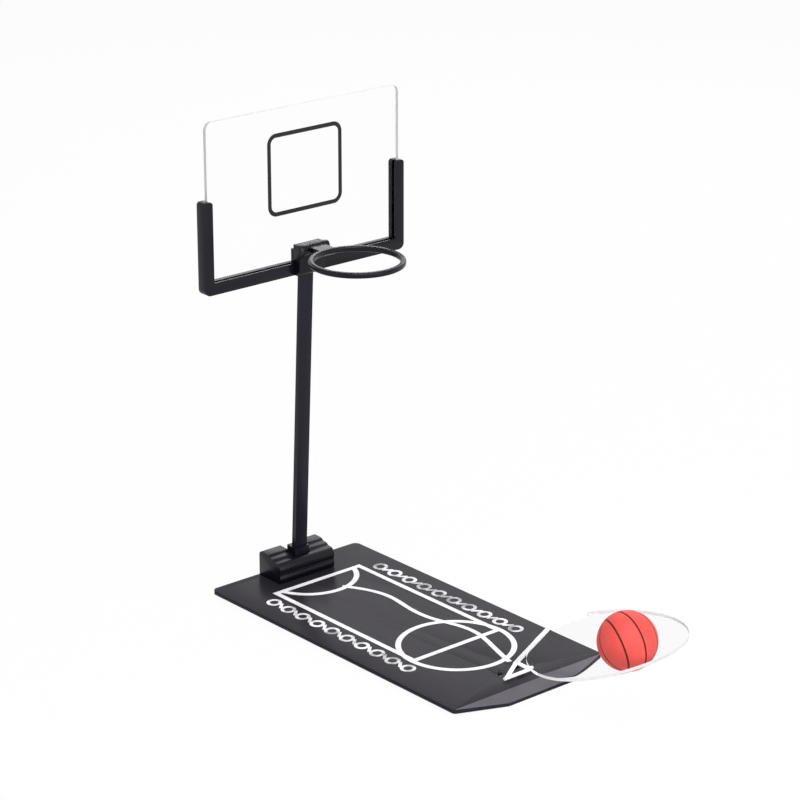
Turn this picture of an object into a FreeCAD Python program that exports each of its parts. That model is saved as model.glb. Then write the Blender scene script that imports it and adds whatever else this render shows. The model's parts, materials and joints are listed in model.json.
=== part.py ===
"""Tabletop basketball game: printed base, folding mast with a clear backboard, hinged hoop, clear launcher, ball.

Millimetres. The origin is the centre of the underside, +Z is up, X runs across and the launcher end faces -Y.
"""
import FreeCAD, Part
import math
import os

V = FreeCAD.Vector
ACROSS = V(1, 0, 0)
ALONG = V(0, 1, 0)
UP = V(0, 0, 1)

# Clearances and the overrun of every cut
fit_clearance = 0.05
moving_clearance = 0.3
overrun = 3.0
tiny = 1e-6
full_turn = 360.0

# Base plate, its sloping front lip and the foam under it
base_width = 90.0
base_length = 182.5
plate_thickness = 2.0
plate_corner = 3.0
lip_length = 8.5
lip_chamfer = 25.0
lip_corner = 2.0
lip_front_thickness = 1.6
foam_thickness = 1.0
foam_inset = 2.0

# Court print
film_thickness = 0.12
print_shift = 0.9
line_width = 2.6
baseline_setback = 24.2
lane_half_width = 25.6
lane_length = 99.9
circle_radius = 26.6
arc_half_width = 22.0
arc_depth = 16.0
flow_line_width = 2.4
flow_steps_per_place = 3
flow_across_shares = (0.14, 0.37, 0.50, 0.43, 0.44, 0.63, 0.62, 0.50, 0.33, 0.25)
flow_along_shares = (0.14, 0.24, 0.37, 0.54, 0.70, 0.89, 0.98, 1.09, 1.22, 1.29)

# Chains of small rings beside the lane
ring_count = 10
ring_pitch = 10.75
ring_radius = 2.9
ring_line = 1.6
ring_offset = 7.4
ring_setback = 31.8
link_half_share = 0.25
link_angle = 45.0

# Hinge housing on the back edge of the plate
housing_width = 33.4
housing_depth = 16.0
housing_height = 12.7
housing_front_height = 9.0
housing_setback = 1.0
housing_slope_run = 11.5
housing_round = 2.0
slope_ribs = 3
front_ribs = 2
rib_radius = 2.8
rib_proud = 0.4

# Fold hinge
hinge_setback = 10.8
hinge_height = 5.6
hinge_pin_radius = 1.5
pin_end_wall = 2.0
plug_radius = 2.3
plug_depth = 1.5
barrel_radius = 4.2
barrel_half_width = 4.2
washer_thickness = 0.5
washer_radius = 3.6
washer_gap = 0.1
leaf_thickness = 0.4
leaf_width = 7.0
leaf_length = 9.0
housing_screw_offset = 11.0
housing_screw_setback = 5.0
housing_screw_radius = 1.1
housing_screw_grip = 4.0
screw_head_radius = 2.2
screw_head_height = 0.8
head_room = 0.3

# Mast
mast_lean = 3.0
pole_width = 7.0
pole_thickness = 2.8
pole_seat = 2.4
neck_front_depth = 2.2
neck_back_depth = 4.2
neck_height = 8.6
neck_rivet_radius = 0.9
neck_rivet_height = 6.0

# Board frame and board
frame_bottom = 154.1
rail_height = 5.7
frame_width = 118.2
frame_depth = 5.2
arm_width = 5.2
arm_height = 43.8
frame_corner = 3.0
arm_tip_round = 1.6
board_thickness = 1.8
board_width = 112.6
board_seat = 2.0
board_wall = 0.9
board_above_frame = 80.2
board_corner = 3.6
target_width = 43.6
target_height = 39.0
target_line = 2.0
target_corner = 5.0
target_above_frame = 29.9

# Hoop bracket, its screws and the hoop
bracket_width = 14.8
bracket_depth = 3.6
bracket_height = 14.7
bracket_round = 2.0
ear_thickness = 3.0
ear_reach = 1.9
hoop_pin_above_frame = 13.5
hoop_pin_radius = 0.9
hoop_barrel_radius = 2.1
tab_half_width = 5.5
tab_height = 11.5
pole_above_frame = 3.2
bracket_screw_radius = 0.9
bracket_screw_wall = 1.2
bracket_head_radius = 1.6
bracket_head_height = 1.1
lower_screw_above_frame = 1.65
upper_screw_above_frame = 8.9
hoop_reach = 30.7
hoop_mean_radius = 21.0
hoop_section_width = 2.6
hoop_section_height = 2.7
hoop_section_corner = 0.9
tongue_thickness = 2.2

# Launcher
foot_setback = 155.7
foot_length = 9.2
foot_width = 15.6
foot_thickness = 1.2
foot_corner = 2.5
bridge_width = 4.4
bridge_wall = 1.0
bridge_overlap = 4.0
loop_setback = 166.8
loop_bar_radius = 0.8
loop_half_width = 8.4
loop_leg_width = 1.4
neck_foot_setback = 165.3
neck_foot_height = 6.1
neck_width = 2.6
sheet_thickness = 1.2
knee_setback = 187.6
knee_height = 32.0
neck_end_turn = 43.5
bowl_setback = 223.0
bowl_half_width = 42.0
bowl_half_depth = 25.4
bowl_low_setback = 224.5
bowl_low_height = 26.8
bowl_radius_along = 38.0
bowl_radius_across = 128.0
bowl_turn_along = 60.0
bowl_turn_across = 22.0
ball_seat_turn = 21.8
ball_hole_radius = 9.0
foot_rivet_offset = 5.3
foot_rivet_setback = 160.2
foot_rivet_radius = 0.9
rivet_head_radius = 1.8
rivet_head_height = 0.6

# Ball: its seams lie as it was dropped, turned by the three angles
ball_radius = 13.2
seam_radius = 0.42
side_seam_share = 0.42
side_seam_turn = 15.0
ball_heading = -8.7
ball_tilt = -7.8
ball_turn = -33.6

# Places that follow from the sizes above
back_edge = base_length / 2
front_edge = -base_length / 2
fold_line = front_edge + lip_length
plate_bottom = foam_thickness
plate_top = foam_thickness + plate_thickness
hinge_y = back_edge - hinge_setback
hinge_z = plate_top + hinge_height
housing_back = back_edge - housing_setback
housing_front = housing_back - housing_depth
slot_half = barrel_half_width + washer_gap + washer_thickness + washer_gap
frame_z = plate_top + frame_bottom
board_low = frame_z + rail_height - board_seat
lean_slope = math.tan(math.radians(mast_lean))
rail_front = hinge_y - (frame_z - hinge_z) * lean_slope - pole_thickness / 2
frame_back = rail_front + frame_depth
board_front = rail_front + board_wall
board_back = board_front + board_thickness
board_y = (board_front + board_back) / 2
bracket_front = rail_front - bracket_depth
hoop_pin_y = bracket_front - ear_reach
hoop_pin_z = frame_z + hoop_pin_above_frame
hoop_y = hoop_pin_y - hoop_reach
launcher_root = V(0, back_edge - loop_setback, plate_top + loop_bar_radius + moving_clearance)
neck_foot = V(0, back_edge - neck_foot_setback, plate_top + neck_foot_height)
launcher_knee = V(0, back_edge - knee_setback, plate_top + knee_height)
bowl_low = V(0, back_edge - bowl_low_setback, plate_top + bowl_low_height)
bowl_centre = bowl_low + UP * bowl_radius_along


def export(shape, name):
    shape.exportStep("parts/" + name + ".step")


def block(x, y, z):
    """A box between pairs of limits."""
    return Part.makeBox(x[1] - x[0], y[1] - y[0], z[1] - z[0], V(x[0], y[0], z[0]))


def middle_block(width, y, z):
    """A box centred across the part."""
    return block((-width / 2, width / 2), y, z)


def rounded_wire(points, radii):
    """A closed outline whose corners are rounded by arcs."""
    corners = []
    for i, point in enumerate(points):
        if radii[i] == 0:
            corners.append((point, None, point))
            continue
        before = (points[i - 1] - point).normalize()
        after = (points[(i + 1) % len(points)] - point).normalize()
        half_angle = before.getAngle(after) / 2
        inward = (before + after).normalize()
        run = radii[i] / math.tan(half_angle)
        centre = point + inward * (radii[i] / math.sin(half_angle))
        corners.append((point + before * run, centre - inward * radii[i], point + after * run))
    edges = []
    for i, (start, middle, end) in enumerate(corners):
        if middle is not None:
            edges.append(Part.Arc(start, middle, end).toShape())
        following = corners[(i + 1) % len(corners)][0]
        if (following - end).Length > tiny:
            edges.append(Part.LineSegment(end, following).toShape())
    return Part.Wire(edges)


def slab(points, radii, height):
    """A solid raised along a vector from a rounded outline."""
    return Part.Face(rounded_wire(points, radii)).extrude(height)


def side_profile(points, radii, width):
    """A solid with a side outline of (y, z) points, centred across the part."""
    start = [V(-width / 2, y, z) for y, z in points]
    return slab(start, radii, V(width, 0, 0))


def lean(shape):
    """Turn a piece forward about the fold hinge to the pole's standing angle."""
    shape.rotate(V(0, hinge_y, hinge_z), ACROSS, mast_lean)
    return shape


def slot_block(y, z):
    return middle_block(2 * slot_half, y, z)


def screw(head, axis, shank_radius, shank_length, head_radius, head_height):
    """A screw whose head lies behind the point and whose shank runs along the axis."""
    shank = Part.makeCylinder(shank_radius, shank_length, head, axis)
    cap = Part.makeCylinder(head_radius, head_height, head - axis * head_height, axis)
    return shank.fuse(cap)


# Places of the fasteners in the plate
housing_screw_places = [(side * housing_screw_offset, back_edge - housing_screw_setback) for side in (-1, 1)]
foot_rivet_places = [(side * foot_rivet_offset, back_edge - foot_rivet_setback) for side in (-1, 1)]


def hole(place, radius, low, high):
    return Part.makeCylinder(radius, high - low, V(place[0], place[1], low))


def make_base_plate():
    """Flat plate with rounded back corners and a front lip that slopes down to the table."""
    half = base_width / 2
    outline = [V(-half, back_edge, -overrun), V(half, back_edge, -overrun), V(half, fold_line, -overrun),
               V(half - lip_chamfer, front_edge, -overrun), V(lip_chamfer - half, front_edge, -overrun),
               V(-half, fold_line, -overrun)]
    radii = [plate_corner, plate_corner] + [lip_corner] * 4
    side = [(back_edge, plate_bottom), (back_edge, plate_top), (fold_line, plate_top),
            (front_edge, lip_front_thickness), (front_edge, 0), (fold_line, plate_bottom)]
    plate = side_profile(side, [0] * len(side), base_width)
    plate = plate.common(slab(outline, radii, V(0, 0, plate_top + 2 * overrun)))
    for place in housing_screw_places:
        plate = plate.cut(hole(place, housing_screw_radius + fit_clearance, -overrun, plate_top + overrun))
    for place in foot_rivet_places:
        plate = plate.cut(hole(place, foot_rivet_radius + fit_clearance, -overrun, plate_top + overrun))
    return plate


def make_foam_sheet():
    """Anti-slip foam under the flat part of the plate, with room for the fasteners' heads."""
    half = base_width / 2 - foam_inset
    back = back_edge - foam_inset
    front = fold_line + foam_inset
    outline = [V(-half, back, 0), V(half, back, 0), V(half, front, 0), V(-half, front, 0)]
    foam = slab(outline, [plate_corner - foam_inset] * len(outline), V(0, 0, foam_thickness))
    for place in housing_screw_places + foot_rivet_places:
        foam = foam.cut(hole(place, screw_head_radius + head_room, -overrun, plate_top))
    return foam


def ring(centre, radius, width):
    """A flat printed ring."""
    outer = Part.makeCylinder(radius + width / 2, film_thickness, centre)
    return outer.cut(Part.makeCylinder(radius - width / 2, film_thickness, centre))


def film(x, y):
    return block(x, y, (plate_top, plate_top + film_thickness))


def ribbon(places, width):
    """A printed line of even width along a smooth curve."""
    centre = Part.BSplineCurve()
    centre.interpolate([V(x, y, plate_top) for x, y in places])
    steps = flow_steps_per_place * len(places)
    sides = ([], [])
    for i in range(steps + 1):
        share = centre.FirstParameter + (centre.LastParameter - centre.FirstParameter) * i / steps
        point = centre.value(share)
        outward = centre.tangent(share)[0].cross(UP).normalize()
        sides[0].append(point + outward * (width / 2))
        sides[1].append(point - outward * (width / 2))
    curves = []
    for side in sides:
        curve = Part.BSplineCurve()
        curve.interpolate(side)
        curves.append(curve.toShape())
    ends = [Part.LineSegment(sides[0][i], sides[1][i]).toShape() for i in (0, -1)]
    outline = Part.Wire(Part.__sortEdges__(curves + ends))
    return Part.Face(outline).extrude(V(0, 0, film_thickness))


def make_court_lines():
    """Lane, free-throw circle, hoop arc and the flowing line down the lane, as one printed film."""
    baseline = back_edge - baseline_setback
    free_throw = baseline - lane_length
    reach = lane_half_width + line_width / 2
    half_line = line_width / 2
    lines = film((-reach, reach), (baseline - half_line, baseline + half_line))
    lines = lines.fuse(film((-reach, reach), (free_throw - half_line, free_throw + half_line)))
    for side in (-1, 1):
        middle = side * lane_half_width
        lines = lines.fuse(film((middle - half_line, middle + half_line), (free_throw, baseline)))
    lines = lines.fuse(ring(V(0, free_throw, plate_top), circle_radius, line_width))
    arc_radius = (arc_half_width ** 2 + arc_depth ** 2) / (2 * arc_depth)
    arc_centre = V(0, baseline - arc_depth + arc_radius, plate_top)
    inside_lane = film((-lane_half_width, lane_half_width), (free_throw, baseline))
    lines = lines.fuse(ring(arc_centre, arc_radius, line_width).common(inside_lane))
    places = [(lane_half_width * across, baseline - lane_length * along)
              for across, along in zip(flow_across_shares, flow_along_shares)]
    lines = lines.fuse(ribbon(places, flow_line_width))
    lines.translate(ACROSS * print_shift)
    return lines.removeSplitter()


def make_ring_chains():
    """A chain of small linked rings beside each long side of the lane."""
    first = back_edge - ring_setback
    chains = None
    for side in (-1, 1):
        x = print_shift + side * (lane_half_width + ring_offset)
        for i in range(ring_count):
            piece = ring(V(x, first - i * ring_pitch, plate_top), ring_radius, ring_line)
            chains = piece if chains is None else chains.fuse(piece)
        for i in range(ring_count - 1):
            middle = first - (i + 1 / 2) * ring_pitch
            reach = ring_pitch * link_half_share
            link = film((x - ring_line / 2, x + ring_line / 2), (middle - reach, middle + reach))
            link.rotate(V(x, middle, plate_top), UP, side * link_angle)
            for step in (0, 1):
                centre = V(x, first - (i + step) * ring_pitch, plate_top)
                link = link.cut(Part.makeCylinder(ring_radius, film_thickness, centre))
            chains = chains.fuse(link)
    return chains.removeSplitter()


def make_housing():
    """Low wedge-topped block with soft ribs on its slope and front and a slot for the knuckle, open at the back."""
    top = plate_top + housing_height
    front_top = plate_top + housing_front_height
    slope_end = housing_front + housing_slope_run
    side = [(housing_back, plate_top), (housing_back, top), (slope_end, top), (housing_front, front_top),
            (housing_front, plate_top)]
    body = side_profile(side, [0, housing_round, housing_round, housing_round, 0], housing_width)
    body = body.fuse(make_ribs(V(0, slope_end, top), V(0, housing_front, front_top), slope_ribs))
    body = body.fuse(make_ribs(V(0, housing_front, front_top), V(0, housing_front, plate_top), front_ribs))
    body = body.cut(middle_block(base_width, (front_edge, back_edge), (-overrun, plate_top)))
    room = barrel_radius + moving_clearance
    body = body.cut(Part.makeCylinder(room, 2 * slot_half, V(-slot_half, hinge_y, hinge_z), ACROSS))
    front_room = neck_front_depth + moving_clearance
    front_part = slot_block((hinge_y - front_room, housing_back), (hinge_z, top + housing_height))
    body = body.cut(lean(front_part))
    low = hinge_z - neck_back_depth - moving_clearance
    behind = slot_block((hinge_y, housing_back + overrun), (low, top + overrun))
    body = body.cut(behind)
    leaf_room = middle_block(leaf_width + 2 * moving_clearance,
                             (hinge_y - leaf_length / 2 - moving_clearance,
                              hinge_y + leaf_length / 2 + moving_clearance),
                             (plate_top - overrun, hinge_z - barrel_radius + moving_clearance))
    body = body.cut(leaf_room)
    pin_start = -housing_width / 2 + pin_end_wall
    body = body.cut(Part.makeCylinder(hinge_pin_radius + fit_clearance, housing_width,
                                      V(pin_start, hinge_y, hinge_z), ACROSS))
    body = body.cut(Part.makeCylinder(plug_radius + fit_clearance, housing_width,
                                      V(housing_width / 2 - plug_depth, hinge_y, hinge_z), ACROSS))
    for place in housing_screw_places:
        body = body.cut(hole(place, housing_screw_radius + fit_clearance, plate_top - overrun,
                             plate_top + housing_screw_grip + fit_clearance))
    return body


def make_ribs(upper, lower, count):
    """Long soft ribs across the width, spaced evenly down a face of the housing."""
    ribs = None
    step = (lower - upper) * (1 / count)
    inward = ACROSS.cross(step).normalize()
    for i in range(count):
        middle = upper + step * (i + 1 / 2) + inward * (rib_radius - rib_proud)
        rib = Part.makeCylinder(rib_radius, housing_width, middle - ACROSS * (housing_width / 2), ACROSS)
        ribs = rib if ribs is None else ribs.fuse(rib)
    return ribs


def make_hinge_pin():
    start = -housing_width / 2 + pin_end_wall + fit_clearance
    end = housing_width / 2 - plug_depth - fit_clearance
    return Part.makeCylinder(hinge_pin_radius, end - start, V(start, hinge_y, hinge_z), ACROSS)


def make_pin_plug():
    start = V(housing_width / 2 - plug_depth, hinge_y, hinge_z)
    return Part.makeCylinder(plug_radius, plug_depth, start, ACROSS)


def make_friction_washers():
    washers = []
    for side in (-1, 1):
        inner = side * (barrel_half_width + washer_gap)
        outer = Part.makeCylinder(washer_radius, washer_thickness, V(inner, hinge_y, hinge_z), ACROSS * side)
        bore = Part.makeCylinder(hinge_pin_radius + fit_clearance, washer_thickness,
                                 V(inner, hinge_y, hinge_z), ACROSS * side)
        washers.append(outer.cut(bore))
    return Part.makeCompound(washers)


def make_friction_leaf():
    """Bowed spring strip that presses up under the knuckle's barrel."""
    low = plate_top
    room = hinge_z - barrel_radius - moving_clearance - low
    rise = room - leaf_thickness
    half = leaf_length / 2
    under = [V(-leaf_width / 2, hinge_y - half, low), V(-leaf_width / 2, hinge_y, low + rise),
             V(-leaf_width / 2, hinge_y + half, low)]
    over = [V(-leaf_width / 2, hinge_y + half, low + leaf_thickness),
            V(-leaf_width / 2, hinge_y, low + rise + leaf_thickness),
            V(-leaf_width / 2, hinge_y - half, low + leaf_thickness)]
    edges = [Part.Arc(*under).toShape(), Part.LineSegment(under[2], over[0]).toShape(),
             Part.Arc(*over).toShape(), Part.LineSegment(over[2], under[0]).toShape()]
    return Part.Face(Part.Wire(edges)).extrude(V(leaf_width, 0, 0))


def make_housing_screws():
    screws = [screw(V(x, y, plate_bottom), UP, housing_screw_radius, plate_thickness + housing_screw_grip,
                    screw_head_radius, screw_head_height) for x, y in housing_screw_places]
    return Part.makeCompound(screws)


def make_knuckle():
    """Barrel on the hinge pin with a neck that holds the pole."""
    start = V(-barrel_half_width, hinge_y, hinge_z)
    barrel = Part.makeCylinder(barrel_radius, 2 * barrel_half_width, start, ACROSS)
    neck = middle_block(2 * barrel_half_width, (hinge_y - neck_front_depth, hinge_y + neck_back_depth),
                        (hinge_z, hinge_z + neck_height))
    body = barrel.fuse(neck)
    bore = Part.makeCylinder(hinge_pin_radius + fit_clearance, 2 * barrel_half_width, start, ACROSS)
    socket = pole_block(hinge_z + pole_seat, hinge_z + neck_height + overrun, fit_clearance)
    body = body.cut(bore).cut(socket)
    rivet = Part.makeCylinder(neck_rivet_radius + fit_clearance, 2 * barrel_half_width,
                              V(-barrel_half_width, hinge_y, hinge_z + neck_rivet_height), ACROSS)
    return lean(body.cut(rivet).removeSplitter())


def pole_block(low, high, gap):
    return middle_block(pole_width + 2 * gap,
                        (hinge_y - pole_thickness / 2 - gap, hinge_y + pole_thickness / 2 + gap), (low, high))


def pole_room():
    """Room for the leaning top of the pole in the board frame and the bracket."""
    return lean(pole_block(frame_z - overrun, frame_z + pole_above_frame + fit_clearance, fit_clearance))


def bracket_screw_heights():
    return (frame_z + lower_screw_above_frame, frame_z + upper_screw_above_frame)


def bracket_screw_holes(first, last):
    """Clearance holes for the two bracket screws between two depths."""
    holes = []
    for z in bracket_screw_heights():
        radius = bracket_screw_radius + fit_clearance
        holes.append(Part.makeCylinder(radius, last - first, V(0, first, z), ALONG))
    return holes[0].fuse(holes[1])


def make_pole():
    """Flat bar from the knuckle to the back of the board frame."""
    pole = pole_block(hinge_z + pole_seat + fit_clearance, frame_z + pole_above_frame, 0)
    rivet = Part.makeCylinder(neck_rivet_radius + fit_clearance, pole_width,
                              V(-pole_width / 2, hinge_y, hinge_z + neck_rivet_height), ACROSS)
    pole = pole.cut(rivet)
    return lean(pole).cut(bracket_screw_holes(bracket_front, frame_back))


def make_neck_rivet():
    start = V(-barrel_half_width, hinge_y, hinge_z + neck_rivet_height)
    return lean(Part.makeCylinder(neck_rivet_radius, 2 * barrel_half_width, start, ACROSS))


def make_board_frame():
    """U-shaped moulding with a slot for the board and a tab behind the board in the middle."""
    back = frame_back
    half = frame_width / 2
    top = frame_z + arm_height
    outline = [V(-half, back, frame_z), V(half, back, frame_z), V(half, back, top), V(half - arm_width, back, top),
               V(half - arm_width, back, frame_z + rail_height), V(arm_width - half, back, frame_z + rail_height),
               V(arm_width - half, back, top), V(-half, back, top)]
    radii = [frame_corner, frame_corner, arm_tip_round, arm_tip_round, 0, 0, arm_tip_round, arm_tip_round]
    body = slab(outline, radii, V(0, -frame_depth, 0))
    tab = middle_block(2 * tab_half_width, (board_back + fit_clearance, back), (frame_z, frame_z + tab_height))
    body = body.fuse(tab)
    gap = board_thickness / 2 + fit_clearance
    slot = middle_block(board_width + 2 * fit_clearance, (board_y - gap, board_y + gap),
                        (board_low, top + overrun))
    body = body.cut(slot).cut(bracket_screw_holes(rail_front - overrun, back + overrun))
    return body.cut(pole_room()).removeSplitter()


def board_outline(width, low, high, y):
    return [V(-width / 2, y, low), V(width / 2, y, low), V(width / 2, y, high), V(-width / 2, y, high)]


def make_backboard():
    outline = board_outline(board_width, board_low + fit_clearance, frame_z + board_above_frame, board_back)
    board = slab(outline, [0, 0, board_corner, board_corner], V(0, -board_thickness, 0))
    return board.cut(bracket_screw_holes(board_front - overrun, board_back + overrun))


def make_target_square():
    low = frame_z + target_above_frame
    outer = board_outline(target_width, low, low + target_height, board_front)
    inner = board_outline(target_width - 2 * target_line, low + target_line, low + target_height - target_line,
                          board_front)
    square = slab(outer, [target_corner] * len(outer), V(0, -film_thickness, 0))
    return square.cut(slab(inner, [target_corner - target_line] * len(inner), V(0, -film_thickness, 0)))


def make_hoop_bracket():
    """Block on the rail and board, with two ears for the hoop's pin."""
    top = frame_z + bracket_height
    rail_top = frame_z + rail_height
    side = [(rail_front, frame_z), (rail_front, rail_top), (board_front - fit_clearance, rail_top),
            (board_front - fit_clearance, top), (bracket_front, top), (bracket_front, frame_z)]
    body = side_profile(side, [0, 0, 0, 0, bracket_round, bracket_round], bracket_width)
    nose = ear_reach + hoop_barrel_radius
    ears = [(bracket_front + bracket_round, frame_z + bracket_height / 2),
            (bracket_front + bracket_depth / 2, top), (hoop_pin_y, hoop_pin_z + hoop_barrel_radius),
            (bracket_front - nose, hoop_pin_z + hoop_barrel_radius),
            (bracket_front - nose, hoop_pin_z - hoop_barrel_radius)]
    ear_round = hoop_barrel_radius - fit_clearance
    body = body.fuse(side_profile(ears, [0, 0, 0, ear_round, ear_round], bracket_width))
    gap_width = bracket_width - 2 * ear_thickness
    body = body.cut(Part.makeCylinder(hoop_barrel_radius + moving_clearance, gap_width,
                                      V(-gap_width / 2, hoop_pin_y, hoop_pin_z), ACROSS))
    body = body.cut(middle_block(gap_width, (bracket_front - nose - overrun, hoop_pin_y),
                                 (hoop_pin_z - hoop_barrel_radius - overrun,
                                  hoop_pin_z + hoop_barrel_radius + overrun)))
    body = body.cut(middle_block(gap_width, (hoop_pin_y, hoop_pin_y + tongue_thickness / 2 + moving_clearance),
                                 (hoop_pin_z, hoop_pin_z + hoop_barrel_radius + overrun)))
    body = body.cut(Part.makeCylinder(hoop_pin_radius + fit_clearance, bracket_width,
                                      V(-bracket_width / 2, hoop_pin_y, hoop_pin_z), ACROSS))
    body = body.cut(pole_room())
    body = body.cut(bracket_screw_holes(bracket_front + bracket_screw_wall - fit_clearance, board_back))
    return body.removeSplitter()


def make_bracket_screws():
    length = frame_back - bracket_front - bracket_screw_wall
    screws = [screw(V(0, frame_back, z), -ALONG, bracket_screw_radius, length, bracket_head_radius,
                    bracket_head_height) for z in bracket_screw_heights()]
    return Part.makeCompound(screws)


def make_hoop_pin():
    start = V(-bracket_width / 2, hoop_pin_y, hoop_pin_z)
    return Part.makeCylinder(hoop_pin_radius, bracket_width, start, ACROSS)


def make_hoop():
    """Level round ring with a tongue and a barrel that turns on the hoop pin."""
    half = bracket_width / 2 - ear_thickness - fit_clearance
    centre = V(0, hoop_y, hoop_pin_z)
    inner = hoop_mean_radius - hoop_section_width / 2
    outer = hoop_mean_radius + hoop_section_width / 2
    rise = V(0, 0, hoop_section_height / 2)
    section = [centre + ACROSS * inner - rise, centre + ACROSS * outer - rise,
               centre + ACROSS * outer + rise, centre + ACROSS * inner + rise]
    body = Part.Face(rounded_wire(section, [hoop_section_corner] * len(section))).revolve(centre, UP, full_turn)
    tongue = middle_block(2 * half, (hoop_y, hoop_pin_y),
                          (hoop_pin_z - tongue_thickness / 2, hoop_pin_z + tongue_thickness / 2))
    clear = Part.makeCylinder(hoop_mean_radius, 2 * tongue_thickness, centre - UP * tongue_thickness)
    body = body.fuse(tongue.cut(clear))
    start = V(-half, hoop_pin_y, hoop_pin_z)
    body = body.fuse(Part.makeCylinder(hoop_barrel_radius, 2 * half, start, ACROSS))
    body = body.cut(Part.makeCylinder(hoop_pin_radius + fit_clearance, 2 * half, start, ACROSS))
    return body.removeSplitter()


def make_launcher_foot():
    """Clear plate riveted to the base, with a bridge that holds down the bar of the launcher's loop."""
    back = back_edge - foot_setback
    front = back - foot_length
    half = foot_width / 2
    outline = [V(-half, back, plate_top), V(half, back, plate_top), V(half, front, plate_top),
               V(-half, front, plate_top)]
    foot = slab(outline, [foot_corner] * len(outline), V(0, 0, foot_thickness))
    room = loop_bar_radius + moving_clearance
    bridge_front = launcher_root.y - room - bridge_wall
    foot = foot.fuse(middle_block(bridge_width, (bridge_front, front + bridge_overlap),
                                  (plate_top, launcher_root.z + room + bridge_wall)))
    foot = foot.cut(Part.makeCylinder(room, foot_width, launcher_root - ACROSS * half, ACROSS))
    foot = foot.cut(middle_block(foot_width, (launcher_root.y - room, launcher_root.y + room),
                                 (plate_top - overrun, launcher_root.z)))
    for place in foot_rivet_places:
        foot = foot.cut(hole(place, foot_rivet_radius + fit_clearance, 0, plate_top + overrun))
    return foot.removeSplitter()


def make_foot_rivets():
    rivets = []
    grip = plate_thickness + foot_thickness
    for x, y in foot_rivet_places:
        low_head = V(x, y, plate_bottom)
        rivet = screw(low_head, UP, foot_rivet_radius, grip, rivet_head_radius, rivet_head_height)
        top_head = Part.makeCylinder(rivet_head_radius, rivet_head_height, V(x, y, plate_bottom + grip))
        rivets.append(rivet.fuse(top_head))
    return Part.makeCompound(rivets)


def bowl_point(turn, radius):
    """Point on the centre plane at a turn forward of the bowl's lowest point."""
    angle = math.radians(turn)
    return bowl_centre - V(0, math.sin(angle), math.cos(angle)) * radius


def strip(start, end, width, thickness):
    """A flat strip with round ends whose middle line runs between two points in the side view."""
    run = (end - start).normalize()
    normal = run.cross(ACROSS).normalize() * (thickness / 2)
    side = ACROSS * (width / 2)
    corners = [start - side - normal, end - side - normal, end - side + normal, start - side + normal]
    body = slab(corners, [0] * len(corners), side * 2)
    for end_point in (start, end):
        body = body.fuse(Part.makeCylinder(thickness / 2, width, end_point - side, ACROSS))
    return body


def make_loop():
    """Three-cornered loop at the foot of the neck, standing on the bar that the bridge holds."""
    rise = neck_foot - launcher_root
    rise_length = rise.Length
    up = rise * (1 / rise_length)
    depth = up.cross(ACROSS) * sheet_thickness
    low_left = launcher_root - depth / 2 - ACROSS * loop_half_width
    low_right = launcher_root - depth / 2 + ACROSS * loop_half_width
    tip = neck_foot - depth / 2
    half_neck = ACROSS * (neck_width / 2)
    loop = slab([low_left, low_right, tip + half_neck, tip - half_neck], [0] * 4, depth)
    leg_run = loop_half_width - neck_width / 2
    inset = loop_leg_width * math.hypot(leg_run, rise_length) / rise_length
    sill_rise = math.sqrt(loop_bar_radius ** 2 - (sheet_thickness / 2) ** 2)
    sill = ACROSS * (loop_half_width - inset - leg_run * sill_rise / rise_length)
    window_low = launcher_root - depth + up * sill_rise
    peak = launcher_root - depth + up * ((loop_half_width - inset) * rise_length / leg_run)
    window = slab([window_low - sill, window_low + sill, peak], [0] * 3, depth * 2)
    bar = Part.makeCylinder(loop_bar_radius, 2 * loop_half_width, launcher_root - ACROSS * loop_half_width, ACROSS)
    return loop.cut(window).fuse(bar)


def make_launcher():
    """Narrow neck that rises from its loop and bends over into an oval bowl with the hole that holds the ball."""
    neck = make_loop().fuse(strip(neck_foot, launcher_knee, neck_width, sheet_thickness))
    end = bowl_point(-neck_end_turn, bowl_radius_along)
    neck = neck.fuse(strip(launcher_knee, end, neck_width, sheet_thickness))
    radii = (bowl_radius_along - sheet_thickness / 2, bowl_radius_along + sheet_thickness / 2)
    inner, outer = [[bowl_point(turn, radius) for turn in (-bowl_turn_along, 0, bowl_turn_along)]
                    for radius in radii]
    edges = [Part.Arc(*inner).toShape(), Part.LineSegment(inner[2], outer[2]).toShape(),
             Part.Arc(*outer).toShape(), Part.LineSegment(outer[0], inner[0]).toShape()]
    section = Part.Face(Part.Wire(Part.__sortEdges__(edges)))
    pivot = bowl_low + UP * bowl_radius_across
    section.rotate(pivot, ALONG, -bowl_turn_across)
    shell = section.revolve(pivot, ALONG, 2 * bowl_turn_across)
    middle = V(0, back_edge - bowl_setback, plate_top)
    outline = Part.Ellipse(middle, bowl_half_width, bowl_half_depth).toShape()
    bowl = shell.common(Part.Face(Part.Wire(outline)).extrude(UP * bowl_radius_along * 2))
    bore = Part.makeCylinder(ball_hole_radius, 2 * overrun, bowl_point(ball_seat_turn, bowl_radius_along + overrun),
                             (bowl_centre - bowl_point(ball_seat_turn, bowl_radius_along)).normalize())
    return neck.fuse(bowl).cut(bore).removeSplitter()


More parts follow.
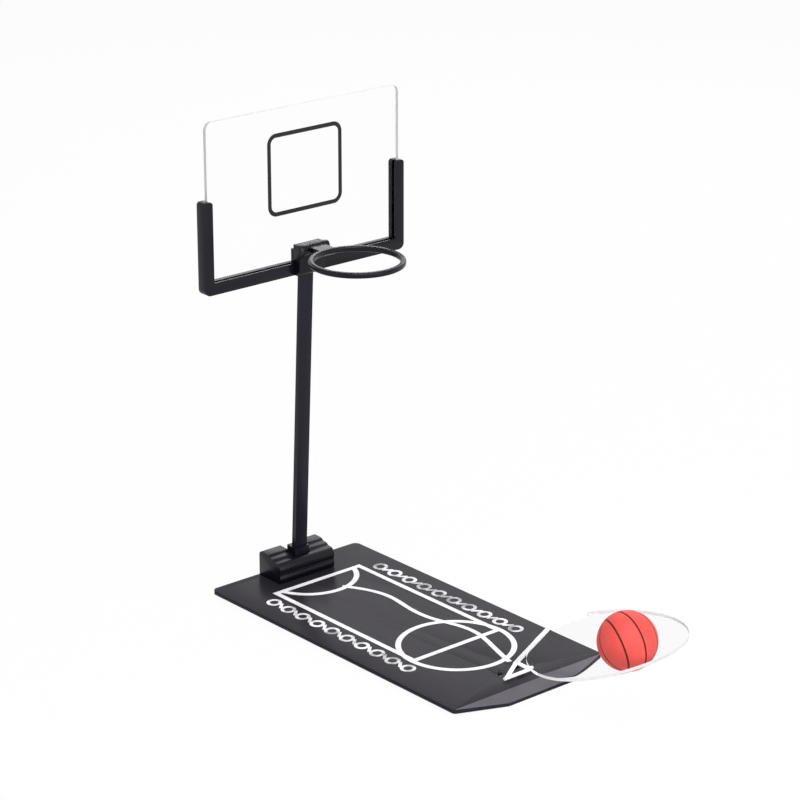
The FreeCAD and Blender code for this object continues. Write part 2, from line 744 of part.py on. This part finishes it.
def make_ball():
    """Ball with two great-circle seams and two side seams as shallow grooves."""
    centre = V(0, 0, 0)
    ball = Part.makeSphere(ball_radius)
    side_place = ball_radius * side_seam_share
    side_radius = math.sqrt(ball_radius ** 2 - side_place ** 2)
    swing = math.radians(side_seam_turn)
    seams = [Part.makeTorus(ball_radius, seam_radius, centre, ACROSS),
             Part.makeTorus(ball_radius, seam_radius, centre, ALONG)]
    for side in (-1, 1):
        facing = ACROSS * math.cos(swing) + ALONG * (side * math.sin(swing))
        seams.append(Part.makeTorus(side_radius, seam_radius, facing * (side * side_place), facing))
    for seam in seams:
        ball = ball.cut(seam)
    for axis, angle in ((ACROSS, ball_turn), (ALONG, ball_tilt), (UP, ball_heading)):
        ball.rotate(centre, axis, angle)
    edge = math.sqrt((bowl_radius_along - sheet_thickness / 2) ** 2 - ball_hole_radius ** 2)
    lift = math.sqrt((ball_radius + moving_clearance) ** 2 - ball_hole_radius ** 2)
    ball.translate(bowl_point(ball_seat_turn, edge - lift))
    return ball


os.makedirs("parts", exist_ok=True)
export(make_base_plate(), "base_plate")
export(make_foam_sheet(), "anti_slip_sheet")
export(make_court_lines(), "court_lines")
export(make_ring_chains(), "side_ring_print")
export(make_housing(), "hinge_housing")
export(make_hinge_pin(), "hinge_pin")
export(make_pin_plug(), "pin_plug")
export(make_friction_washers(), "friction_washers")
export(make_friction_leaf(), "friction_leaf")
export(make_housing_screws(), "housing_screws")
export(make_launcher_foot(), "launcher_foot")
export(make_foot_rivets(), "foot_rivets")
export(make_knuckle(), "pole_knuckle")
export(make_pole(), "pole_bar")
export(make_neck_rivet(), "neck_rivet")
export(make_board_frame(), "board_frame")
export(make_backboard(), "backboard")
export(make_target_square(), "target_square")
export(make_hoop_bracket(), "hoop_bracket")
export(make_bracket_screws(), "bracket_screws")
export(make_hoop_pin(), "hoop_pin")
export(make_hoop(), "hoop_ring")
export(make_launcher(), "launcher_sheet")
export(make_ball(), "ball")
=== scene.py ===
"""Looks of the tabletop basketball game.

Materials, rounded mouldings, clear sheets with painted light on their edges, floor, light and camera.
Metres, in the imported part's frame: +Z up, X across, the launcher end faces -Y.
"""
import bpy
import bmesh
import json
import math
from collections import namedtuple
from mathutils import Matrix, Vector


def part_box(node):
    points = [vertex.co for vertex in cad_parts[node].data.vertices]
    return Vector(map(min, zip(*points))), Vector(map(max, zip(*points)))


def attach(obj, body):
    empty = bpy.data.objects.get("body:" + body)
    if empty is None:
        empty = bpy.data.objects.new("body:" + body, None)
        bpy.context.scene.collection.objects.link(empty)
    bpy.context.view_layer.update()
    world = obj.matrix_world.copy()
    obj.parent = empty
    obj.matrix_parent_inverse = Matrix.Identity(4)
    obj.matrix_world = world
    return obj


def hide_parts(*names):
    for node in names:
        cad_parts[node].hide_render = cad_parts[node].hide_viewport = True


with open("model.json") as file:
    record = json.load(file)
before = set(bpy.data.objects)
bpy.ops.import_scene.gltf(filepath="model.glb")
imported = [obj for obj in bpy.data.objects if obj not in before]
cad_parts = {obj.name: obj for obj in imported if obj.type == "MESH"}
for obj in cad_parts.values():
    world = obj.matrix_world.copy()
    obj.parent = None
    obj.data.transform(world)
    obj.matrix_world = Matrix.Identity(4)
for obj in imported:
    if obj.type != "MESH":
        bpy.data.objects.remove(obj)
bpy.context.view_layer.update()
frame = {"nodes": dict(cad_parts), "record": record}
nodes = frame["nodes"]

Clouds = namedtuple("Clouds", "scale detail dark light start end")
Finish = namedtuple("Finish", "roughness grain gloss")
Lamp = namedtuple("Lamp", "name place size power")

# Camera, measured from the photograph
VIEW_AZIMUTH = math.radians(-40.815)
VIEW_ELEVATION = math.radians(20.226)
VIEW_DISTANCE = 1.3235
VIEW_LENS = 131.28
VIEW_SENSOR = 36.0
VIEW_SHIFT_X = -0.0075
VIEW_SHIFT_Y = 0.02625
TARGET_HEIGHT = 0.103
TARGET_ALONG = 0.00125

# Colours as they show, in sRGB
PLATE_COLOUR = (0.168, 0.155, 0.188)
# The lip is the plate's plastic painted lighter: a painted sheen for the light it reflects
LIP_PAINTED_SHEEN_COLOUR = (0.390, 0.376, 0.410)
MOULDING_COLOUR = (0.055, 0.055, 0.098)
POLE_COLOUR = (0.095, 0.095, 0.145)
PRINT_COLOUR = (0.985, 0.975, 0.990)
CHAIN_COLOUR = (0.985, 0.975, 1.000)
TARGET_COLOUR = (0.095, 0.095, 0.118)
FOAM_COLOUR = (0.100, 0.100, 0.110)
STEEL_COLOUR = (0.700, 0.700, 0.720)
SCREW_COLOUR = (0.300, 0.300, 0.330)
BALL_COLOUR = (0.915, 0.330, 0.305)
SEAM_COLOUR = (0.400, 0.085, 0.085)
CLEAR_COLOUR = (0.998, 0.998, 0.999)
BOWL_COLOUR = (0.980, 0.980, 0.984)
# Painted light on the launcher bowl's rim, for the light its cut edge catches
RIM_PAINTED_LIGHT_COLOUR = (0.860, 0.852, 0.862)
# Painted light on the backboard's cut edges: a pale grey that stands for the light they catch
BOARD_EDGE_PAINTED_LIGHT_COLOUR = (0.780, 0.775, 0.795)
# The launcher's clear neck and loop painted pale: painted light for the light caught in the sheet
PAINTED_GLOW_COLOUR = (0.975, 0.970, 0.975)
FLOOR_COLOUR = (0.930, 0.930, 0.925)
WHITE = (1.0, 1.0, 1.0, 1.0)

# Stretch of a pattern that runs no one way
EVEN = (1.0, 1.0, 1.0)

# Cloudy tones: how fine they are, their darkest and lightest share of the colour, and the noise at each
MOULDED_CLOUDS = Clouds(scale=35.0, detail=4.0, dark=0.90, light=1.10, start=0.30, end=0.72)
PLATE_CLOUDS = Clouds(scale=30.0, detail=4.0, dark=0.90, light=1.10, start=0.30, end=0.72)
WHITE_INK_CLOUDS = Clouds(scale=150.0, detail=5.0, dark=0.93, light=1.0, start=0.36, end=0.58)
DARK_INK_CLOUDS = Clouds(scale=150.0, detail=5.0, dark=0.90, light=1.0, start=0.36, end=0.58)
CHAIN_INK_CLOUDS = Clouds(scale=150.0, detail=5.0, dark=0.55, light=1.0, start=0.36, end=0.58)
CLEAR_CLOUDS = Clouds(scale=60.0, detail=4.0, dark=0.997, light=1.0, start=0.35, end=0.65)
# Cloudy tone of the painted glow on the clear sheets' neck and edges
PAINTED_GLOW_CLOUDS = Clouds(scale=90.0, detail=4.0, dark=0.95, light=1.0, start=0.30, end=0.70)
METAL_CLOUDS = Clouds(scale=300.0, detail=4.0, dark=0.90, light=1.0, start=0.35, end=0.65)
BALL_CLOUDS = Clouds(scale=90.0, detail=4.0, dark=0.93, light=1.0, start=0.30, end=0.70)

# Mouldings: roughness, depth of grain and gloss of each, and what they share
MOULDING_FINISH = Finish(roughness=0.26, grain=0.02, gloss=0.20)
POLE_FINISH = Finish(roughness=0.32, grain=0.02, gloss=0.17)
FOAM_FINISH = Finish(roughness=0.85, grain=0.9, gloss=0.2)
SHEEN_SCALE = 120.0
SHEEN_DETAIL = 4.0
SHEEN_SPREAD = 0.05
GRAIN_SCALE = 2600.0
GRAIN_DETAIL = 2.0
GRAIN_DEPTH = 0.00005

# Court plate: handling marks, grain and gloss
MARKS_SCALE = 60.0
MARKS_DETAIL = 6.0
MARKS_STRETCH = (8.0, 0.6, 1.0)
MARKS_SMOOTHEST = 0.24
MARKS_ROUGHEST = 0.36
PLATE_GRAIN_SCALE = 1400.0
PLATE_GRAIN = 0.03
PLATE_GRAIN_DEPTH = 0.00004
PLATE_GLOSS = 0.04

# Ink, clear sheets, metal and the ball's skin
INK_ROUGHNESS = 0.42
SOFT_GLOSS = 0.3
CLEAR_IOR = 1.015
FOOT_ALPHA = 0.06
# Paint for the light caught in the clear launcher's neck and loop: its roughness and painted glow
PAINTED_GLOW_ROUGHNESS = 0.35
PAINTED_GLOW_STRENGTH = 0.35
# Faint painted glow on the clear sheets' cut edges
EDGE_PAINTED_GLOW = 0.06
PIN_ROUGHNESS = 0.28
SCREW_ROUGHNESS = 0.35
BALL_ROUGHNESS = 0.55
SEAM_SHOWS_BELOW = 0.00016
PEBBLE_SCALE = 900.0
PEBBLE_STRENGTH = 0.25
PEBBLE_DEPTH = -0.0002

# Rounded mouldings: the CAD node and the name of the piece that takes its place
MOULDINGS = {
    "hinge_housing": "housing_moulding",
    "board_frame": "frame_moulding",
    "hoop_bracket": "bracket_moulding",
    "pole_bar": "pole_rounded",
    "pole_knuckle": "knuckle_moulding",
}
SOFT_EDGE = 0.0005
PLATE_EDGE = 0.0012
EDGE_STEPS = 3
WELD = 1e-6
FLAT_LIMIT = math.radians(0.5)
SHARP_LIMIT = math.radians(35.0)

# Faces that take a second or third material: painted light on cut edges and the lip, painted glow on the
# launcher's neck and loop
PLAIN_FACE = 0
PAINTED_LIGHT_FACE = 1
PAINTED_GLOW_FACE = 2
FACING_SHARE = 0.9
LIP_LENGTH = 0.0085
LIP_LEAN = 0.05
RIM_SHARE = 0.985
RIM_STEEPNESS = 0.2
NECK_REACH = 0.010
PAINTED_GLOW_RIM_SHARE = -0.2
BOWL_DEPTH_PER_WIDTH = 25.4 / 42.0

# Floor, surroundings and lamps
FLOOR_HALF = 4.0
FLOOR_ROUGHNESS = 0.9
FLOOR_WHITE_SHARE = 0.93
SURROUNDINGS_LIGHT = 0.55
LAMPS = (
    Lamp(name="key", place=(-0.30, -0.65, 1.0), size=0.8, power=8.8),
    Lamp(name="front", place=(0.20, -1.20, 0.35), size=0.6, power=3.0),
    Lamp(name="back", place=(0.75, 0.60, 0.75), size=0.8, power=3.2),
)


def linear(colour):
    """An sRGB colour as the linear one that a shader socket takes."""
    return tuple(c / 12.92 if c <= 0.04045 else ((c + 0.055) / 1.055) ** 2.4 for c in colour) + (1.0,)


def shade(colour, factor):
    """A share of a colour, no lighter than white."""
    return tuple(min(1.0, c * factor) for c in colour)


def new_material(name):
    """An empty material with its tree and its shader."""
    material = bpy.data.materials.new(name)
    material.use_nodes = True
    tree = material.node_tree
    return material, tree, tree.nodes["Principled BSDF"]


def object_coordinates(tree, stretch=EVEN):
    """Places on the object, stretched where a pattern runs one way."""
    mapping = tree.nodes.new("ShaderNodeMapping")
    mapping.inputs["Scale"].default_value = stretch
    places = tree.nodes.new("ShaderNodeTexCoord").outputs["Object"]
    tree.links.new(places, mapping.inputs["Vector"])
    return mapping.outputs["Vector"]


def noise(tree, scale, detail, stretch=EVEN):
    """Noise over the object."""
    node = tree.nodes.new("ShaderNodeTexNoise")
    node.inputs["Scale"].default_value = scale
    node.inputs["Detail"].default_value = detail
    tree.links.new(object_coordinates(tree, stretch), node.inputs["Vector"])
    return node.outputs["Fac"]


def cloudy(tree, colour, clouds):
    """A colour whose tone drifts between a darker and a lighter share of it."""
    node = tree.nodes.new("ShaderNodeValToRGB")
    dark, light = node.color_ramp.elements
    dark.position = clouds.start
    dark.color = linear(shade(colour, clouds.dark))
    light.position = clouds.end
    light.color = linear(shade(colour, clouds.light))
    tree.links.new(noise(tree, clouds.scale, clouds.detail), node.inputs["Fac"])
    return node.outputs["Color"]


def value_range(tree, factor, low, high):
    """A factor from nought to one, as a value from low to high."""
    node = tree.nodes.new("ShaderNodeMapRange")
    node.inputs["To Min"].default_value = low
    node.inputs["To Max"].default_value = high
    tree.links.new(factor, node.inputs["Value"])
    return node.outputs["Result"]


def bump(tree, height, strength, distance):
    """A normal from a height pattern."""
    node = tree.nodes.new("ShaderNodeBump")
    node.inputs["Strength"].default_value = strength
    node.inputs["Distance"].default_value = distance
    tree.links.new(height, node.inputs["Height"])
    return node.outputs["Normal"]


def moulded(name, colour, finish):
    """Moulded or painted surface: faint cloudy tone, uneven gloss and a fine grain."""
    material, tree, shader = new_material(name)
    tree.links.new(cloudy(tree, colour, MOULDED_CLOUDS), shader.inputs["Base Color"])
    sheen = noise(tree, SHEEN_SCALE, SHEEN_DETAIL)
    smoothest = finish.roughness - SHEEN_SPREAD
    roughest = finish.roughness + SHEEN_SPREAD
    tree.links.new(value_range(tree, sheen, smoothest, roughest), shader.inputs["Roughness"])
    grain = noise(tree, GRAIN_SCALE, GRAIN_DETAIL)
    tree.links.new(bump(tree, grain, finish.grain, GRAIN_DEPTH), shader.inputs["Normal"])
    shader.inputs["Specular IOR Level"].default_value = finish.gloss
    return material


def make_plate_plastic(name, colour):
    """Satin court plate with fine handling marks along its length."""
    material, tree, shader = new_material(name)
    tree.links.new(cloudy(tree, colour, PLATE_CLOUDS), shader.inputs["Base Color"])
    marks = noise(tree, MARKS_SCALE, MARKS_DETAIL, MARKS_STRETCH)
    tree.links.new(value_range(tree, marks, MARKS_SMOOTHEST, MARKS_ROUGHEST), shader.inputs["Roughness"])
    grain = noise(tree, PLATE_GRAIN_SCALE, GRAIN_DETAIL)
    tree.links.new(bump(tree, grain, PLATE_GRAIN, PLATE_GRAIN_DEPTH), shader.inputs["Normal"])
    shader.inputs["Specular IOR Level"].default_value = PLATE_GLOSS
    return material


def make_print(name, colour, clouds):
    """Flat ink whose coat is a little uneven."""
    material, tree, shader = new_material(name)
    tree.links.new(cloudy(tree, colour, clouds), shader.inputs["Base Color"])
    shader.inputs["Roughness"].default_value = INK_ROUGHNESS
    shader.inputs["Specular IOR Level"].default_value = SOFT_GLOSS
    return material


def make_clear(name, colour, alpha=1.0):
    """Clear plastic with the faintest uneven tone."""
    material, tree, shader = new_material(name)
    tree.links.new(cloudy(tree, colour, CLEAR_CLOUDS), shader.inputs["Base Color"])
    shader.inputs["Transmission Weight"].default_value = 1.0
    shader.inputs["Alpha"].default_value = alpha
    shader.inputs["IOR"].default_value = CLEAR_IOR
    shader.inputs["Roughness"].default_value = 0.0
    return material


def make_painted_glow(name, colour, glow):
    """Part of a clear sheet painted pale, with a painted glow for the light caught inside it."""
    material, tree, shader = new_material(name)
    tree.links.new(cloudy(tree, colour, PAINTED_GLOW_CLOUDS), shader.inputs["Base Color"])
    shader.inputs["Emission Color"].default_value = linear(colour)
    shader.inputs["Emission Strength"].default_value = glow
    shader.inputs["Roughness"].default_value = PAINTED_GLOW_ROUGHNESS
    shader.inputs["Specular IOR Level"].default_value = SOFT_GLOSS
    return material


def make_metal(name, colour, roughness):
    """Bare metal with a faintly cloudy tone."""
    material, tree, shader = new_material(name)
    tree.links.new(cloudy(tree, colour, METAL_CLOUDS), shader.inputs["Base Color"])
    shader.inputs["Metallic"].default_value = 1.0
    shader.inputs["Roughness"].default_value = roughness
    return material


def make_ball_skin():
    """Pebbled red skin, with the dark seams wherever the surface dips below the sphere."""
    material, tree, shader = new_material("ball_skin")
    low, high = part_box("ball")
    radius = (high.z - low.z) / 2
    depth = tree.nodes.new("ShaderNodeVectorMath")
    depth.operation = "DISTANCE"
    depth.inputs[1].default_value = (low + high) / 2
    tree.links.new(object_coordinates(tree), depth.inputs[0])
    seam = tree.nodes.new("ShaderNodeMapRange")
    seam.inputs["From Min"].default_value = radius - SEAM_SHOWS_BELOW
    seam.inputs["From Max"].default_value = radius - SEAM_SHOWS_BELOW / 2
    tree.links.new(depth.outputs["Value"], seam.inputs["Value"])
    mix = tree.nodes.new("ShaderNodeMix")
    mix.data_type = "RGBA"
    colours = {socket.name: socket for socket in mix.inputs if socket.type == "RGBA"}
    colours["A"].default_value = linear(SEAM_COLOUR)
    tree.links.new(cloudy(tree, BALL_COLOUR, BALL_CLOUDS), colours["B"])
    tree.links.new(seam.outputs["Result"], mix.inputs["Factor"])
    skin = next(socket for socket in mix.outputs if socket.type == "RGBA")
    tree.links.new(skin, shader.inputs["Base Color"])
    shader.inputs["Roughness"].default_value = BALL_ROUGHNESS
    shader.inputs["Specular IOR Level"].default_value = SOFT_GLOSS
    cells = tree.nodes.new("ShaderNodeTexVoronoi")
    cells.inputs["Scale"].default_value = PEBBLE_SCALE
    tree.links.new(object_coordinates(tree), cells.inputs["Vector"])
    pebbles = bump(tree, cells.outputs["Distance"], PEBBLE_STRENGTH, PEBBLE_DEPTH)
    tree.links.new(pebbles, shader.inputs["Normal"])
    return material


# The materials by their slots in the record, and the ones that only the looks need
MATERIALS = {
    "base_plastic": make_plate_plastic("base_plastic", PLATE_COLOUR),
    "black_plastic": moulded("black_plastic", MOULDING_COLOUR, MOULDING_FINISH),
    "pole_paint": moulded("pole_paint", POLE_COLOUR, POLE_FINISH),
    "foam": moulded("foam", FOAM_COLOUR, FOAM_FINISH),
    "white_print": make_print("white_print", PRINT_COLOUR, WHITE_INK_CLOUDS),
    "dark_print": make_print("dark_print", TARGET_COLOUR, DARK_INK_CLOUDS),
    "clear_plastic": make_clear("clear_plastic", CLEAR_COLOUR),
    "pin_steel": make_metal("pin_steel", STEEL_COLOUR, PIN_ROUGHNESS),
    "screw_steel": make_metal("screw_steel", SCREW_COLOUR, SCREW_ROUGHNESS),
    "ball_rubber": make_ball_skin(),
}
# Painted sheen on the lip: the plate's plastic in a lighter colour
LIP_PAINTED_SHEEN = make_plate_plastic("lip_painted_sheen_plastic", LIP_PAINTED_SHEEN_COLOUR)
CHAIN_PRINT = make_print("chain_print", CHAIN_COLOUR, CHAIN_INK_CLOUDS)
CLEAR_BOWL = make_clear("clear_bowl", BOWL_COLOUR)
CLEAR_FOOT = make_clear("clear_foot", BOWL_COLOUR, FOOT_ALPHA)
# Painted light on the bowl's rim, with a faint painted glow
RIM_PAINTED_LIGHT = make_painted_glow("rim_painted_light", RIM_PAINTED_LIGHT_COLOUR, EDGE_PAINTED_GLOW)
# Painted light on the backboard's cut edges, with a faint painted glow
BOARD_EDGE_PAINTED_LIGHT = make_painted_glow("board_edge_painted_light", BOARD_EDGE_PAINTED_LIGHT_COLOUR, EDGE_PAINTED_GLOW)
# The launcher's neck and loop painted pale with a painted glow
PAINTED_GLOW_PLASTIC = make_painted_glow("painted_glow_plastic", PAINTED_GLOW_COLOUR, PAINTED_GLOW_STRENGTH)


def paint(obj, *materials):
    """Give an object its materials, the first of them on all its faces."""
    obj.data.materials.clear()
    for material in materials:
        obj.data.materials.append(material)


def body_of(node):
    """The body that a CAD node rides on."""
    for body, members in frame["record"]["behaviour"]["bodies"].items():
        if node in members:
            return body
    raise ValueError(node)


def slot_of(node):
    """The material slot that the record gives a CAD node."""
    for part in frame["record"]["subparts"]:
        if part["node"] == node:
            return part["material_slot"]
    raise ValueError(node)


def dress_nodes():
    """Give every CAD node the material of its slot, with worn chains and a faint launcher's foot."""
    for part in frame["record"]["subparts"]:
        paint(nodes[part["node"]], MATERIALS[part["material_slot"]])
    paint(nodes["side_ring_print"], CHAIN_PRINT)
    paint(nodes["launcher_foot"], CLEAR_FOOT)
    paint(nodes["foot_rivets"], CLEAR_FOOT)


def stand_in(node, name):
    """A welded copy of a CAD node's mesh that takes the node's place on its body."""
    mesh = nodes[node].data.copy()
    shape = bmesh.new()
    shape.from_mesh(mesh)
    bmesh.ops.remove_doubles(shape, verts=shape.verts, dist=WELD)
    bmesh.ops.dissolve_limit(shape, angle_limit=FLAT_LIMIT, verts=shape.verts, edges=shape.edges)
    shape.to_mesh(mesh)
    shape.free()
    piece = bpy.data.objects.new(name, mesh)
    bpy.context.scene.collection.objects.link(piece)
    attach(piece, body_of(node))
    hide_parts(node)
    return piece


def smooth(piece):
    """Smooth shading that breaks at sharp edges only."""
    piece.data.polygons.foreach_set("use_smooth", [True] * len(piece.data.polygons))
    piece.data.set_sharp_from_angle(angle=SHARP_LIMIT)


def soften(node, name, radius):
    """A moulding with its sharp edges rounded."""
    piece = stand_in(node, name)
    bevel = piece.modifiers.new("soft_edges", "BEVEL")
    bevel.width = radius
    bevel.segments = EDGE_STEPS
    bevel.limit_method = "ANGLE"
    bevel.angle_limit = SHARP_LIMIT
    evaluated = piece.evaluated_get(bpy.context.evaluated_depsgraph_get())
    rounded = bpy.data.meshes.new_from_object(evaluated)
    piece.modifiers.clear()
    piece.data = rounded
    smooth(piece)
    paint(piece, MATERIALS[slot_of(node)])
    return piece


def mark_faces(piece, chosen):
    """Give the faces that a test picks the piece's second material, its painted light."""
    for face in piece.data.polygons:
        face.material_index = PAINTED_LIGHT_FACE if chosen(face) else PLAIN_FACE


def make_plate():
    """Court plate with rounded edges and a painted sheen on its lip."""
    plate = soften("base_plate", "court_plate", PLATE_EDGE)
    paint(plate, MATERIALS["base_plastic"], LIP_PAINTED_SHEEN)
    # The faces of the lip that lean forward get the painted sheen
    lip_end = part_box("base_plate")[0].y + LIP_LENGTH
    mark_faces(plate, lambda face: face.center.y < lip_end and face.normal.z > FACING_SHARE
               and -face.normal.y > LIP_LEAN)


def make_board():
    """Clear backboard with painted light on its cut edges."""
    board = stand_in("backboard", "clear_board")
    smooth(board)
    paint(board, MATERIALS["clear_plastic"], BOARD_EDGE_PAINTED_LIGHT)
    mark_faces(board, lambda face: abs(face.normal.y) < FACING_SHARE)


def make_paddle():
    """Clear bowl with painted light on its rim, on a neck and loop painted pale and glowing."""
    paddle = stand_in("launcher_sheet", "clear_paddle")
    smooth(paddle)
    paint(paddle, CLEAR_BOWL, RIM_PAINTED_LIGHT, PAINTED_GLOW_PLASTIC)
    low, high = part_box("launcher_sheet")
    half_width = (high.x - low.x) / 2
    half_depth = half_width * BOWL_DEPTH_PER_WIDTH
    middle_x = (low.x + high.x) / 2
    middle_y = low.y + half_depth
    for face in paddle.data.polygons:
        across = (face.center.x - middle_x) / half_width
        along = (face.center.y - middle_y) / half_depth
        reach = math.hypot(across, along)
        on_rim = abs(reach - 1.0) < 1.0 - RIM_SHARE and abs(face.normal.z) < RIM_STEEPNESS
        # Neck, loop and the back-left rim get the painted glow; the rest of the rim gets painted light
        if reach > RIM_SHARE and along > 0 and abs(face.center.x) < NECK_REACH:
            face.material_index = PAINTED_GLOW_FACE
        elif on_rim and across < PAINTED_GLOW_RIM_SHARE and along > 0:
            face.material_index = PAINTED_GLOW_FACE
        elif on_rim:
            face.material_index = PAINTED_LIGHT_FACE


def seen_rays(tree):
    """One for the rays that look at the surroundings: straight, through clear sheets and in gloss."""
    path = tree.nodes.new("ShaderNodeLightPath")
    found = path.outputs["Is Camera Ray"]
    for name in ("Is Transmission Ray", "Is Glossy Ray"):
        either = tree.nodes.new("ShaderNodeMath")
        either.operation = "MAXIMUM"
        tree.links.new(found, either.inputs[0])
        tree.links.new(path.outputs[name], either.inputs[1])
        found = either.outputs[0]
    return found


def make_floor():
    """Pale floor that shows white to the camera and keeps the object's shadow."""
    mesh = bpy.data.meshes.new("floor")
    corners = [(x * FLOOR_HALF, y * FLOOR_HALF, 0) for x, y in ((-1, -1), (1, -1), (1, 1), (-1, 1))]
    mesh.from_pydata(corners, [], [range(len(corners))])
    floor = bpy.data.objects.new("floor", mesh)
    bpy.context.scene.collection.objects.link(floor)
    material, tree, shader = new_material("floor")
    shader.inputs["Base Color"].default_value = linear(FLOOR_COLOUR)
    shader.inputs["Roughness"].default_value = FLOOR_ROUGHNESS
    white = tree.nodes.new("ShaderNodeEmission")
    share = tree.nodes.new("ShaderNodeMath")
    share.operation = "MULTIPLY"
    share.inputs[1].default_value = FLOOR_WHITE_SHARE
    tree.links.new(seen_rays(tree), share.inputs[0])
    mix = tree.nodes.new("ShaderNodeMixShader")
    tree.links.new(share.outputs[0], mix.inputs["Fac"])
    tree.links.new(shader.outputs["BSDF"], mix.inputs[1])
    tree.links.new(white.outputs["Emission"], mix.inputs[2])
    tree.links.new(mix.outputs["Shader"], tree.nodes["Material Output"].inputs["Surface"])
    paint(floor, material)


def make_world():
    """Even pale surroundings: white to the rays that look at them, and softer as light."""
    world = bpy.data.worlds.new("surroundings")
    bpy.context.scene.world = world
    world.use_nodes = True
    tree = world.node_tree
    light = tree.nodes["Background"]
    light.inputs["Color"].default_value = WHITE
    light.inputs["Strength"].default_value = SURROUNDINGS_LIGHT
    seen = tree.nodes.new("ShaderNodeBackground")
    seen.inputs["Color"].default_value = WHITE
    seen.inputs["Strength"].default_value = 1.0
    mix = tree.nodes.new("ShaderNodeMixShader")
    tree.links.new(seen_rays(tree), mix.inputs["Fac"])
    tree.links.new(light.outputs["Background"], mix.inputs[1])
    tree.links.new(seen.outputs["Background"], mix.inputs[2])
    tree.links.new(mix.outputs["Shader"], tree.nodes["World Output"].inputs["Surface"])


def soft_lamp(lamp):
    """A square soft lamp that faces the middle of the object."""
    light = bpy.data.lights.new(lamp.name, "AREA")
    light.size = lamp.size
    light.energy = lamp.power
    holder = bpy.data.objects.new(lamp.name, light)
    holder.location = lamp.place
    aim = Vector((0, 0, TARGET_HEIGHT)) - Vector(lamp.place)
    holder.rotation_euler = aim.to_track_quat("-Z", "Y").to_euler()
    bpy.context.scene.collection.objects.link(holder)


def make_camera():
    """Camera at the photograph's place."""
    data = bpy.data.cameras.new("photo_camera")
    data.sensor_width = VIEW_SENSOR
    data.lens = VIEW_LENS
    data.shift_x = VIEW_SHIFT_X
    data.shift_y = VIEW_SHIFT_Y
    camera = bpy.data.objects.new("photo_camera", data)
    level = math.cos(VIEW_ELEVATION)
    away_x = math.sin(VIEW_AZIMUTH) * level
    away_y = -math.cos(VIEW_AZIMUTH) * level
    away = Vector((away_x, away_y, math.sin(VIEW_ELEVATION)))
    target = Vector((0, TARGET_ALONG, TARGET_HEIGHT))
    camera.location = target + away * VIEW_DISTANCE
    camera.rotation_euler = (-away).to_track_quat("-Z", "Y").to_euler()
    bpy.context.scene.collection.objects.link(camera)
    bpy.context.scene.camera = camera


dress_nodes()
for moulding, piece_name in MOULDINGS.items():
    soften(moulding, piece_name, SOFT_EDGE)
make_plate()
make_board()
make_paddle()
make_floor()
make_world()
for lamp in LAMPS:
    soft_lamp(lamp)
make_camera()
bpy.context.scene.view_settings.view_transform = "Standard"
